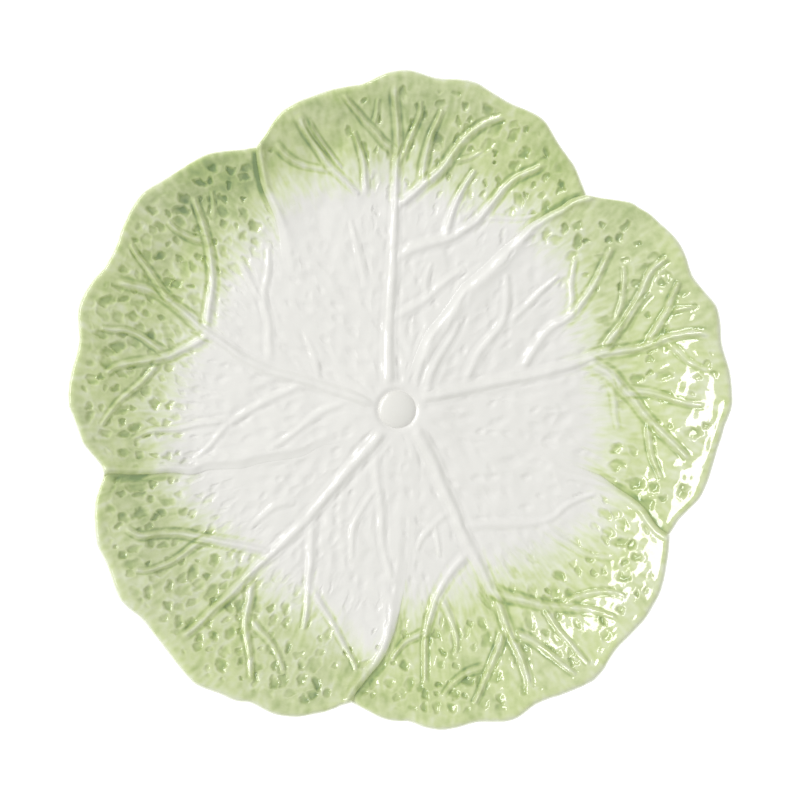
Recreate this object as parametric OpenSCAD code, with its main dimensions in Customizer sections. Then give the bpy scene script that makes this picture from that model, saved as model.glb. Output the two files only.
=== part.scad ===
// A round plate of five overlapping cabbage leaves, cast in glazed earthenware.
// Millimetres, +Z up. The origin is under the middle of the plate, on the table.

/* [Plate] */
// Width across the leaves, from left to right
plate_w = 250; // [210:1:320]
// Height of the rim above the table, at half of the plate's width from its middle
rim_h = 25.5; // [21:0.5:36]
// Upright thickness of the cast wall
wall = 5; // [4:0.25:6.5]
// Width of the flat well
well_w = 152; // [130:1:165]

/* [Leaves] */
// How far a leaf's free edge stands above the neighbour that it covers
overlap_h = 1.5; // [0.6:0.1:2.4]
// Width of the smooth lip along a leaf's edge
lip_w = 4.4; // [3:0.2:6]
// How far the lip's nose is rounded off, above and below
lip_drop = 1.3; // [0.6:0.1:1.9]
// Width of a midrib
midrib_w = 4.4; // [3:0.2:6]
// Height of a midrib above the blade
midrib_h = 1.3; // [0.6:0.1:2]
// Width of a side vein at a leaf's edge
vein_w = 3.4; // [2.4:0.2:4.4]
// Height of a side vein above the blade, where it leaves the midrib
vein_h = 1; // [0.5:0.1:1.6]

/* [Stalk button] */
// Width of the button in the middle
button_w = 16; // [12:0.5:20]
// Height of the button above the leaves
button_h = 3.6; // [2:0.2:5]
// Width of the low collar that the button rises from
collar_w = 18; // [17:0.5:22]
// Height of that collar
collar_h = 0.8; // [0.4:0.1:1.4]
// Width of the flat place around the collar
flat_margin = 6; // [5:0.5:10]

/* [Foot ring] */
// Height of the foot ring
foot_h = 3.5; // [2.5:0.1:3.9]
// Width of the face that the plate stands on
foot_w = 4.5; // [3:0.25:7]
// Width of the slope on each side of that face
foot_flare = 1.2; // [0.5:0.1:2.5]
// How far the ring's outer side lies inside the edge of the well
foot_inset = 14; // [12:0.5:22]

/* [Hidden] */

// Outlines are written in pixels of an overhead picture, right and down from its corner.
plate_w_px = 665.5;
plate_mid_px = [400.25, 400];
stalk_px = [397, 409.5];
mm_per_px = plate_w / plate_w_px;

// Seam k runs from the stalk to notch k, and leaf k lies between seams k and k + 1.
notch_px = [[255, 146], [587, 193.5], [670.5, 534.5], [352, 703.5], [102.5, 476.5]];
seam_px = [
    [[378, 400], [345, 378], [320, 350], [300, 320], [287, 285], [281, 255], [276, 222], [262, 188]],
    [[400, 390], [415, 356], [437, 318], [463, 283], [495, 254], [530, 223], [560, 206]],
    [[418, 420], [460, 436], [520, 446], [560, 459], [592, 472], [617, 487], [645, 508]],
    [[405, 430], [415, 470], [413, 505], [410, 545], [402, 600], [388, 650], [364, 684]],
    [[377, 422], [350, 440], [300, 457], [255, 465], [200, 472], [150, 474.5]],
];
// A leaf's outline between its two notches, clockwise as seen from above
rim_px = [
    [[265, 133], [280, 111.5], [300, 99.5], [330, 89], [360, 83.5], [380, 74.5], [400, 69.5],
     [420, 72], [440, 77.5], [465, 79], [480, 83.5], [510, 102], [540, 116], [560, 144],
     [575, 165], [582, 182]],
    [[600, 196.5], [627, 200.5], [650, 213], [678, 240], [687, 257], [693, 275], [712, 299],
     [720, 316], [722, 340], [731, 375], [733, 398], [729, 417], [718, 450], [707, 485],
     [695, 505], [680, 520]],
    [[670, 545], [667, 567], [661, 592], [645, 620], [620, 646], [604, 670], [588, 684],
     [560, 696], [533, 707], [515, 719.5], [500, 722.5], [480, 722.5], [460, 727.5],
     [440, 730.5], [418, 725], [390, 721], [370, 713]],
    [[335, 709], [305, 716.5], [290, 717.5], [270, 713], [250, 703], [225, 697.5], [200, 687],
     [178, 666], [164, 648], [153, 634], [131, 611], [116, 592], [108, 569], [97, 546],
     [94, 526], [94, 506], [98, 489]],
    [[98, 463], [87, 450], [76, 427], [68, 405], [67.5, 396], [69.5, 376], [77, 348],
     [77, 322], [81, 298], [93, 279], [110, 256], [120, 231], [133, 204], [150, 186.5],
     [182, 167], [205, 154], [230, 149]],
];
// Which of these points is the leaf's tip, where its midrib ends
tip_index = [6, 8, 8, 8, 9];
// A midrib between the stalk and the tip
midrib_px = [
    [[389, 385], [389, 330], [393, 260], [396, 190], [397, 120]],
    [[420, 398], [480, 386], [540, 374], [605, 353], [655, 343]],
    [[416, 430], [435, 465], [452, 505], [472, 550], [497, 600], [515, 645]],
    [[385, 430], [355, 464], [325, 498], [292, 535], [252, 572], [203, 620]],
    [[375, 404], [305, 381], [240, 356], [203, 330], [165, 298], [135, 286]],
];
// Side veins of each leaf, from the stalk to the tip: where a pair leaves the midrib, then where its left
// and its right vein pass halfway and meet the leaf's edge. A side without a vein there is left empty, and
// the entry with two empty sides is where the row that ends at the notches leaves the midrib.
vein_px = [
    [[[392, 322], [], [[425, 302], [480, 269]]],
     [[394, 302], [], []],
     [[396, 258], [], [[478, 221], [572, 160]]],
     [[396, 213], [[346, 179], [286, 107]], [[447, 162], [518, 106]]],
     [[397, 156], [[366, 121], [336, 87]], []]],
    [[[474, 387], [[496, 334], [506, 244]], []],
     [[502, 382], [], []],
     [[530, 376], [[576, 312], [622, 199]], []],
     [[598, 356], [[641, 297], [677, 239]], [[636, 400], [708, 481]]],
     [[652, 343], [[670, 306], [688, 258]], [[687, 360], [729, 371]]]],
    [[[460, 524], [], []],
     [[475, 555], [], [[442, 612], [425, 728]]],
     [[494, 594], [[545, 606], [643, 623]], []],
     [[511, 636], [[549, 660], [588, 684]], [[490, 668], [471, 724]]]],
    [[[352, 467], [[378, 510], [404, 590]], []],
     [[332, 490], [], []],
     [[308, 516], [[311, 575], [299, 717]], []],
     [[258, 566], [[247, 620], [252, 704]], [[205, 541], [95, 522]]]],
    [[[335, 391], [[310, 420], [262, 464]], []],
     [[286, 376], [[237, 417], [186, 474]], [[266, 310], [272, 212]]],
     [[250, 361], [], []],
     [[207, 333], [[156, 357], [77, 373]], [[212, 266], [182, 167]]],
     [[166, 298], [], [[148, 268], [116, 243]]]],
];
// How far out the first row lies, as a share of the flat place's radius
first_row_share = 0.9;
// The first row and the row to the notches bow towards the tip by this share of their length.
bow_share = 0.1;
// Ribs are low in the well, at this share of their height, and rise to all of it on the slope, from the
// first to the second of these shares of the plate's radius.
well_rib_share = 0.38;
rise_shares = [0.48, 0.72];
// A midrib's height halfway down its side, and at the tip, as shares of midrib_h
midrib_side_share = 0.8;
midrib_tip_share = 0.5;
// A vein's height at its outer end, as a share of vein_h, at a seam and at the rim
seam_end_share = 0.05;
rim_end_share = 0.35;
// The bend between well and slope, as a share of the slope's width
bend_share = 0.7;
// The lip and the midrib take at most these shares of a short row
lip_most_share = 0.4;
midrib_most_share = 0.3;
// Plain strips of the blade on each side of the midrib, above and below
top_strips = 5;
base_strips = 7;
// Widest step between two rows, at the edge or at the midrib
row_step = 3.7;
// A vein leaves the midrib at a slant, which makes it this much wider along the midrib.
slant_share = 1.3;
// A vein fades out over this last share of its row.
fade_share = 0.2;
// Places looked at along a line to find the one nearest to a point
near_steps = 200;
// Straight pieces in each stretch of a curve between two given points
curve_steps = 6;

plate_r = plate_w / 2;
well_r = well_w / 2;
floor_z = foot_h + wall;
slope_h = rim_h - floor_z;
stalk_at = place(stalk_px);
// The blades are flat below the collar and around it, and reach their full relief further out.
flat_r = collar_w / 2 + flat_margin;
relief_r = flat_r + collar_w;
// The first row lies inside the flat place, so that nothing rises below the collar.
first_share = first_row_share * flat_r / plate_r;
foot_r = well_r - foot_inset;
foot_turn = 120;
dome_turn = 64;

// A place in millimetres from a pixel of the picture
function place(p) = mm_per_px * [p[0] - plate_mid_px[0], plate_mid_px[1] - p[1]];

// A smooth curve through points: each stretch is the cubic whose ends follow their neighbours
function cubic(a, b, c, d, t) =
    (2 * b + (c - a) * t + (2 * a - 5 * b + 4 * c - d) * t * t
     + (3 * b - a - 3 * c + d) * t * t * t) / 2;
function smooth(p) = [
    for (i = [0 : len(p) - 2]) for (k = [0 : curve_steps - 1])
        cubic(p[max(i - 1, 0)], p[i], p[i + 1], p[min(i + 2, len(p) - 1)], k / curve_steps),
    p[len(p) - 1]
];

// A path holds its x and its y against the share of its length, so that lookup() finds a point on it.
function path(points) =
    let (
        p = smooth([for (q = points) place(q)]),
        run = [for (i = 0, s = 0; i < len(p);
                    s = s + (i + 1 < len(p) ? norm(p[i + 1] - p[i]) : 0), i = i + 1) s],
        total = run[len(run) - 1]
    )
    [for (axis = [0, 1]) [for (i = [0 : len(p) - 1]) [run[i] / total, p[i][axis]]]];
function along(path, share) = [lookup(share, path[0]), lookup(share, path[1])];

function from(list, first, last) = [for (i = [first : last]) list[i]];
function backwards(list) = [for (i = [len(list) - 1 : -1 : 0]) list[i]];
function wrap(k) = k % len(notch_px);

function seam_path(k) = path(concat([stalk_px], seam_px[wrap(k)], [notch_px[wrap(k)]]));
function left_rim_path(k) =
    path(concat([notch_px[k]], from(rim_px[k], 0, tip_index[k])));
function right_rim_path(k) =
    path(concat([notch_px[wrap(k + 1)]],
                backwards(from(rim_px[k], tip_index[k], len(rim_px[k]) - 1))));
function midrib_path(k) =
    path(concat([stalk_px], midrib_px[k], [rim_px[k][tip_index[k]]]));

// Height of the blade: a flat well, a round bend, then a straight slope up to the rim
function ease(x) = x < 0 ? 0 : x < bend_share ? x * x / (2 * bend_share) : x - bend_share / 2;
function blade_z(p) =
    floor_z + slope_h * ease((norm(p) - well_r) / (plate_r - well_r)) / (1 - bend_share / 2);

// No relief below the stalk button, and all of it from relief_r outwards
function relief_share(p) =
    let (x = min(max((norm(p - stalk_at) - flat_r) / (relief_r - flat_r), 0), 1))
    x * x * (3 - 2 * x);

// The share of a path's length at which it passes nearest to p
function share_near(line, p) =
    let (
        far = [for (i = [0 : near_steps]) norm(along(line, i / near_steps) - p)],
        least = min(far)
    )
    [for (i = [0 : near_steps]) if (far[i] == least) i][0] / near_steps;

// A place on a leaf's edge, from 0 to 1 along the seam and from 1 to 2 along the rim
function edge_at(paths, side, place) =
    place <= 1 ? along(paths[side], place) : along(paths[2 + side], place - 1);
function edge_place(paths, side, p) =
    let (on_seam = share_near(paths[side], p), on_rim = share_near(paths[2 + side], p))
    norm(along(paths[side], on_seam) - p) < norm(along(paths[2 + side], on_rim) - p)
        ? on_seam : 1 + on_rim;

// Square to a row, on the side where the tip lies
function tipwards(row, side) = (side == 0 ? [row[1], -row[0]] : [-row[1], row[0]]) / norm(row);

// A leaf's rows against their place on the midrib, as [edge place, bow] tables for each side
function guide(paths, k, side) =
    let (
        known = [for (v = vein_px[k])
            let (s = share_near(paths[4], place(v[0])), vein = v[1 + side])
            if (len(vein) > 0)
                let (
                    e = edge_place(paths, side, place(vein[1])),
                    start = along(paths[4], s),
                    chord = edge_at(paths, side, e) - start,
                    off = place(vein[0]) - start - chord / 2
                )
                [s, e, off * tipwards(chord, side) / norm(chord)]
            else if (len(v[1]) + len(v[2]) == 0) [s, 1, bow_share]],
        all = concat([[first_share, first_share, bow_share]], known, [[1, 2, 0]])
    )
    [[for (g = all) [g[0], g[1]]], [for (g = all) [g[0], g[2]]]];

// How much of its height a rib has at a place
function rib_rise(p) =
    let (
        from = rise_shares[0] * plate_r,
        x = min(max((norm(p - stalk_at) - from) / (rise_shares[1] * plate_r - from), 0), 1)
    )
    well_rib_share + (1 - well_rib_share) * x * x * (3 - 2 * x);

// Rows run from the midrib out to the edge, as the side veins do. A vein has a row on its crest and one at
// each foot. Each row is [place on the midrib, 1 on a left vein's crest, 1 on a right vein's crest].
function rows_of(paths, k, guides) =
    let (
        midrib_length = norm(along(paths[4], 1) - along(paths[4], 0)),
        foot = slant_share * vein_w / 2 / midrib_length,
        marks = concat(
            [[first_share, 0, 0]],
            [for (v = vein_px[k])
                let (
                    s = share_near(paths[4], place(v[0])),
                    left = len(v[1]) > 0 ? 1 : 0,
                    right = len(v[2]) > 0 ? 1 : 0
                )
                each left + right == 0
                    ? [[s, 0, 0]]
                    : [[s - foot, 0, 0], [s, left, right], [s + foot, 0, 0]]],
            [[1, 0, 0]]
        )
    )
    [for (i = [0 : len(marks) - 2])
        let (
            a = marks[i][0],
            b = marks[i + 1][0],
            far = max([midrib_length * (b - a), for (side = [0, 1])
                norm(edge_at(paths, side, lookup(b, guides[side][0]))
                     - edge_at(paths, side, lookup(a, guides[side][0])))]),
            count = max(round(far / row_step), 1)
        )
        each [marks[i], for (j = [1 : 1 : count - 1]) [a + (b - a) * j / count, 0, 0]]];

// How far along its row each column lies, as shares of the row's length, from midrib to edge
function column_shares(length, strips, has_rib) =
    let (
        lip = min(lip_w / length, lip_most_share),
        rib = has_rib ? min(midrib_w / 2 / length, midrib_most_share) : 0
    )
    concat(
        has_rib ? [rib / 2] : [],
        [for (i = [has_rib ? 0 : 1 : strips]) rib + (1 - lip - rib) * i / strips],
        [1 - lip / 2, 1]
    );

// Height of the midrib at a place on it
function midrib_z(s) = midrib_h * (1 - (1 - midrib_tip_share) * s);

// Points of a half row, from the midrib to the edge. side is 0 for the left half, whose edge lies on the
// neighbour, and 1 for the half that the other neighbour covers.
function half_row(paths, guides, row, side, strips, top) =
    let (
        start = along(paths[4], row[0]),
        edge_share = lookup(row[0], guides[side][0]),
        chord = edge_at(paths, side, edge_share) - start,
        bow = lookup(row[0], guides[side][1]) * norm(chord) * tipwards(chord, side),
        shares = column_shares(norm(chord), strips, top),
        last = len(shares) - 1,
        free_edge = edge_share >= 1,
        edge_drop = free_edge ? lip_drop : top && side == 0 ? lip_drop / 2 : 0,
        end_share = free_edge ? rim_end_share : seam_end_share
    )
    [for (i = [0 : last])
        let (
            x = shares[i],
            p = start + x * chord + 4 * x * (1 - x) * bow,
            lip = i < last ? 0 : edge_drop,
            rib_h = i == 0 ? midrib_side_share * midrib_z(row[0]) : 0,
            fade = min((1 - x) / fade_share, 1),
            crest_h = i > 1 ? row[1 + side] * vein_h * (1 - (1 - end_share) * x) * fade : 0,
            lift = (1 - side) * overlap_h * x * x + rib_rise(p) * (rib_h + crest_h)
        )
        top ? [p[0], p[1], blade_z(p) + relief_share(p) * (lift - lip)]
            : [p[0], p[1], blade_z(p) - wall + (free_edge ? lip : 0)]];

// A whole row: the left half backwards, the midrib, then the right half
function whole_row(paths, guides, row, strips, top) =
    let (
        m = along(paths[4], row[0]),
        m_z = blade_z(m) + (top ? relief_share(m) * rib_rise(m) * midrib_z(row[0]) : -wall)
    )
    concat(
        backwards(half_row(paths, guides, row, 0, strips, top)),
        [[m[0], m[1], m_z]],
        half_row(paths, guides, row, 1, strips, top)
    );

// The skin of a leaf above or below: a point at the stalk, the rows, and a point at the tip
function skin(paths, guides, rows, strips, top) =
    let (
        tip = along(paths[4], 1),
        tip_z = blade_z(tip) + (top ? -lip_drop : lip_drop - wall)
    )
    concat(
        [[stalk_at[0], stalk_at[1], top ? floor_z : foot_h]],
        [for (row = rows) each whole_row(paths, guides, row, strips, top)],
        [[tip[0], tip[1], tip_z]]
    );

// Faces of a skin with count rows that are n points wide, numbered from first on
function skin_faces(count, n, first, up) =
    let (
        end = first + 1 + count * n,
        faces = concat(
            [for (i = [0 : n - 2]) [first, first + 1 + i, first + 2 + i]],
            [for (r = [0 : count - 2]) for (i = [0 : n - 2])
                let (a = first + 1 + r * n + i)
                each [[a, a + n, a + n + 1], [a, a + n + 1, a + 1]]],
            [for (i = [0 : n - 2]) [end - n + i, end, end - n + i + 1]]
        )
    )
    up ? faces : [for (f = faces) backwards(f)];

// The wall between the two skins, along both edges
function wall_faces(count, n_top, n_base, first_base) =
    let (
        ring = function (n, first, side)
            [first, each [for (r = [0 : count - 1]) first + 1 + r * n + side * (n - 1)],
             first + 1 + count * n],
        band = function (a, b) [for (i = [0 : len(a) - 2])
            each [[a[i], b[i], b[i + 1]], [a[i], b[i + 1], a[i + 1]]]]
    )
    concat(
        band(ring(n_top, 0, 0), ring(n_base, first_base, 0)),
        band(ring(n_base, first_base, 1), ring(n_top, 0, 1))
    );

module leaf(k) {
    paths = [seam_path(k), seam_path(k + 1), left_rim_path(k), right_rim_path(k), midrib_path(k)];
    guides = [guide(paths, k, 0), guide(paths, k, 1)];
    rows = rows_of(paths, k, guides);
    top = skin(paths, guides, rows, top_strips, true);
    base = skin(paths, guides, rows, base_strips, false);
    n_top = 2 * (top_strips + 4) + 1;
    n_base = 2 * (base_strips + 2) + 1;
    polyhedron(
        concat(top, base),
        concat(skin_faces(len(rows), n_top, 0, true),
               skin_faces(len(rows), n_base, len(top), false),
               wall_faces(len(rows), n_top, n_base, len(top)))
    );
}

// The cut stalk: a low collar with a dome on it, resting on the flat middle of the leaves
module stalk_button() {
    dome_r = (button_w * button_w / 4 + (button_h - collar_h) * (button_h - collar_h))
             / (2 * (button_h - collar_h));
    color("ivory")
        translate([stalk_at[0], stalk_at[1], floor_z]) {
            cylinder(h = collar_h, d = collar_w, $fn = dome_turn);
            intersection() {
                translate([0, 0, button_h - dome_r]) sphere(r = dome_r, $fn = dome_turn);
                cylinder(h = button_h, d = button_w, $fn = dome_turn);
            }
        }
}

// The turned ring that the plate stands on, widening upwards to the wall
module foot_ring() {
    color("wheat")
        rotate_extrude($fn = foot_turn)
            polygon([
                [foot_r - foot_flare, 0],
                [foot_r, foot_h],
                [foot_r - foot_w - 2 * foot_flare, foot_h],
                [foot_r - foot_w - foot_flare, 0],
            ]);
}

module leaf_top() { color("darkseagreen") leaf(0); }
module leaf_right() { color("palegreen") leaf(1); }
module leaf_lower_right() { color("darkseagreen") leaf(2); }
module leaf_lower_left() { color("palegreen") leaf(3); }
module leaf_left() { color("darkkhaki") leaf(4); }

leaf_top();
leaf_right();
leaf_lower_right();
leaf_lower_left();
leaf_left();
stalk_button();
foot_ring();
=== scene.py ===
# %% [markdown]
# # A cabbage-leaf plate
#
# The plate is one casting of glazed earthenware. Its maker carves a model of five overlapping leaves,
# takes a plaster mould from it, fills the mould with clay, fires it, brushes green glaze over the outer half
# of each leaf and covers all of it with a clear glaze that gathers in the hollows.
#
# Each leaf here is one closed sheet of points that numpy works out: first where a point lies when seen from
# above, then how high it stands. The green is worked out for the same points, because on the real plate the
# colour follows the relief: it is deep where the glaze is thick and pale on every ridge.

# %% Load the frame that the looks are built around
import bpy
import numpy as np
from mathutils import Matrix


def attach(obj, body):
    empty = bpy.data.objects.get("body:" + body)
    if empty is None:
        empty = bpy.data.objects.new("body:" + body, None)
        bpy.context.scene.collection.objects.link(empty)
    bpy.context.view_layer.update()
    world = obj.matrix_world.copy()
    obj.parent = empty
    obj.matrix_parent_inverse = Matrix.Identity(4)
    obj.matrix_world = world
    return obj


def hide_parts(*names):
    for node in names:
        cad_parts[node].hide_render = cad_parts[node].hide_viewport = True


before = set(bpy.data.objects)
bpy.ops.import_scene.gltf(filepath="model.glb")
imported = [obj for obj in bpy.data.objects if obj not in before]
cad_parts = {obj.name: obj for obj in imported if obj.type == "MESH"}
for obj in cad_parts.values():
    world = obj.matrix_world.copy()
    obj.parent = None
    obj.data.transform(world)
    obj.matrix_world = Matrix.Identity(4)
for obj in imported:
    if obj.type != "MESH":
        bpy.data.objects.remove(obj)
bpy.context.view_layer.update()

# %% [markdown]
# ## Sizes
#
# Lengths are in millimetres, because that is how a potter measures. They become metres only when a mesh is
# made. The blade is a flat well, a round bend and a slope that eases off just before the rim. Measured
# upright, the wall is equally thick, but its nose at the rim is rolled off.

# %% Sizes of the casting
MM = 0.001
# A hair less than the solids' 250 mm, so that the skin stays inside them
PLATE_WIDTH = 249.75
PLATE_R = PLATE_WIDTH / 2
WELL_R = 76.0
RIM_HEIGHT = 25.5
WALL = 5.0
FOOT_HEIGHT = 3.5
FLOOR_Z = FOOT_HEIGHT + WALL


def smooth_step(x, low=0.0, high=1.0):
    """0 below low, 1 above high, and the S-shaped cubic 3t^2 - 2t^3 between them."""
    t = np.clip((x - low) / (high - low), 0, 1)
    return t * t * (3 - 2 * t)


def bell(x):
    """e to the power of -x^2: 1 at 0, and next to nothing beyond 2."""
    return np.exp(-x**2)


# %% [markdown]
# ## Lines drawn on the plate
#
# A modeller starts from lines: where each leaf ends, where one leaf lies on the next, and where the ribs run.
# These were read from a view straight down on the plate, in pixels to the right and down. A smooth
# curve through them does the rest.

# %% Pixels to millimetres, and curves through points
VIEW_PX = 800
PLATE_PX = 665.5
MIDDLE_PX = (400.25, 400.0)
MM_PER_PX = PLATE_WIDTH / PLATE_PX


def place(text):
    """Points written as 'right,down right,down ...' in pixels, as millimetres from the plate's middle."""
    px = np.array([[float(c) for c in pair.split(",")] for pair in text.split()])
    return (px - MIDDLE_PX) * (MM_PER_PX, -MM_PER_PX)


def spots(p, places):
    """What some places add: the full change at their pixel, and 1/e of it at a distance of reach, in mm."""
    return sum(change * bell(np.hypot(*(p - place(where)[0]).T) / reach) for where, reach, change in places)


def curve(points, steps=10):
    """A smooth line through points: between two of them runs the cubic whose slope at each end is half the
    step from the point before to the point after."""
    p = np.vstack([points[:1], points, points[-1:]])[:, None, :]
    a, b, c, d = p[:-3], p[1:-2], p[2:-1], p[3:]
    t = (np.arange(steps) / steps)[None, :, None]
    cubic = 2 * b + (c - a) * t + (2 * a - 5 * b + 4 * c - d) * t**2 + (3 * b - a - 3 * c + d) * t**3
    return np.vstack([cubic.reshape(-1, 2) / 2, points[-1:]])


def run_of(path):
    """Length of a path up to each of its points."""
    return np.concatenate([[0], np.cumsum(np.hypot(*np.diff(path, axis=0).T))])


def along(path, shares):
    """Points at the given shares of a path's length."""
    run = run_of(path)
    return np.column_stack([np.interp(shares * run[-1], run, path[:, k]) for k in (0, 1)])


def nearest(p, path):
    """Distance from every point of p to a path, and the share of the path's length where the nearest place
    lies. It keeps the nearest of the distances to the path's straight pieces."""
    run = run_of(path)
    best = np.full(len(p), np.inf)
    share = np.zeros(len(p))
    for k in range(len(path) - 1):
        step = path[k + 1] - path[k]
        length = np.hypot(*step)
        if length == 0:
            continue
        off = p - path[k]
        t = np.clip(off @ step / length**2, 0, 1)
        away = np.hypot(off[:, 0] - t * step[0], off[:, 1] - t * step[1])
        closer = away < best
        best = np.where(closer, away, best)
        share = np.where(closer, (run[k] + t * length) / run[-1], share)
    return best, share


STALK = place("397,409.5")[0]
print("one pixel is", round(MM_PER_PX, 4), "mm; the stalk is at", STALK.round(2))


def polar(p):
    """The angle and the distance at which points lie from the stalk."""
    off = p - STALK
    return np.arctan2(off[:, 1], off[:, 0]), np.hypot(off[:, 0], off[:, 1])


# %% [markdown]
# ## The plain blade
#
# This is the plate without any carving. At two places its slope hardly eases off, and so the lip there
# stands a touch higher.

# %% How high the blade lies
# The share of the slope that is the bend, and where the slope eases off, and by how much in the end
BEND_SHARE = 0.7
EASE_FROM = 111.0
EASE_DROP = 1.4
# Where it eases off less, by how large a share: a pixel, a reach in mm and the change
STRAIGHT_AT = [("722,415", 11.0, -0.8), ("646,555", 6.0, -0.8)]


def blade_height(p):
    """Height of the plain blade: x is how far out the slope a point lies. The height grows as x squared in
    the bend and in proportion to x beyond it, less a square that starts near the rim."""
    out = np.hypot(p[:, 0], p[:, 1])
    x = (out - WELL_R) / (PLATE_R - WELL_R)
    risen = np.where(x < BEND_SHARE, np.clip(x, 0, None) ** 2 / (2 * BEND_SHARE), x - BEND_SHARE / 2)
    ease_off = EASE_DROP * (np.clip(out - EASE_FROM, 0, None) / (PLATE_R - EASE_FROM)) ** 2
    for straight in STRAIGHT_AT:
        ease_off *= 1 + spots(p, [straight])
    return FLOOR_Z + (RIM_HEIGHT - FLOOR_Z) * risen / (1 - BEND_SHARE / 2) - ease_off


# %% [markdown]
# ## Seams and rims
#
# Seam k runs from the stalk out to notch k. Leaf k lies between seams k and k + 1, and its edge at seam k
# lies on top of the leaf before it.

# %% Where the leaves end
SEAMS = """
378,400 345,378 320,350 300,320 287,285 281,255 276,222 262,188 257,165 255,146; 400,390 405,382 410,370
415,356 420,343 427,330 437,318 447,305 455,293 463,283 475,273 485,264 495,254 507,243 520,232 530,223
540,217 550,211 560,206 572,198 587,193.5; 418,420 435,428 460,436 490,440 520,446 550,453 570,464
592,472 602,476 617,487 635,499 645,508 652,518 660,528 670.5,534.5; 405,430 412,448 416,470 416,490
413,505 411,525 410,545 408,565 405,585 402,600 399,615 396,628 392,640 388,650 384,658 378,667 370,676
362,686 355,695 352,703.5; 377,422 365,432 350,440 335,444 320,447 300,457 270,462 255,465 240,469
210,470 192,475 170,473 150,474.5 130,475 110,474 102.5,476.5""".split(";")
RIMS = """
255,146 260,139.5 265,133 270,124.5 280,111.5 290,105 300,99.5 310,96 330,89 350,85 360,83.5 370,79.5
380,74.5 390,71 400,69.5 410,69.5 420,72 430,75.5 440,77.5 460,78.5 470,80 480,83.5 490,90 510,102
530,110.5 540,116 545,120 550,127 560,144 570,158 575,165 580,176 587,193.5; 587,193.5 600,196.5
620,199.5 632,202 640,207 650,213 660,222 670,231 678,240 683,248 687,257 690,267 693,275 697,281
705,291 712,299 717,306 720,316 721.5,328 722,340 724,350 728,363 731,375 733,398 732,408 729,417
725,427 722,438 718,450 711,474 707,485 700,499 690,509.5 680,520 676,526 670.5,534.5; 670.5,534.5
670,545 669,555 667,567 665,578 661,592 655,604 645,620 630,636 620,646 613,655 608,663 604,670 595,680
588,684 580,688 560,696 550,699 540,703 533,707 522,715.5 515,719.5 508,721.5 500,722.5 480,722.5
470,724.5 460,727.5 450,729.5 440,730.5 425,728 410,722.5 400,722 390,721 380,718 370,713 352,703.5;
352,703.5 342,706 335,709 325,712.5 315,714.5 297,717.5 280,716 270,713 262,709 250,703 240,702 232,700
220,694.5 200,687 190,680 178,666 164,648 153,634 142,620 131,611 125,606 120,600 116,592 113,584
108,569 104,560 97,546 95,537 94,526 93.5,515 94,506 95.5,497 98,489 102.5,476.5; 102.5,476.5 102,470
98,463 87,450 82,443 79,435 76,427 73,418 70,411 68,405 67.5,396 68,386 69.5,376 72,366 75,357 77,348
78.5,338 77,322 77,314 78,306 81,298 85,290 93,279 103,268 106,263 110,256 116,244 118,238 120,231
129,211 133,204 138,197 143,191.5 150,186.5 160,181 182,167 190,162 205,154 220,150.5 240,148.5
255,146""".split(";")
LEAVES = ["leaf_top", "leaf_right", "leaf_lower_right", "leaf_lower_left", "leaf_left"]
COUNT = len(LEAVES)
seam_paths = [curve(np.vstack([STALK, place(text)])) for text in SEAMS]
rim_paths = [curve(place(text)) for text in RIMS]
for name, path in zip(LEAVES, rim_paths):
    print(name, "rim is", round(run_of(path)[-1]), "mm long")

# %% [markdown]
# ## Ribs
#
# Each leaf has a midrib from the stalk to its tip and ribs that fork from it. A rib is widest where it
# leaves its parent and thins towards its end. Semicolons part the ribs below, and each starts with its width
# and height there, in pixels and millimetres.

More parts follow.
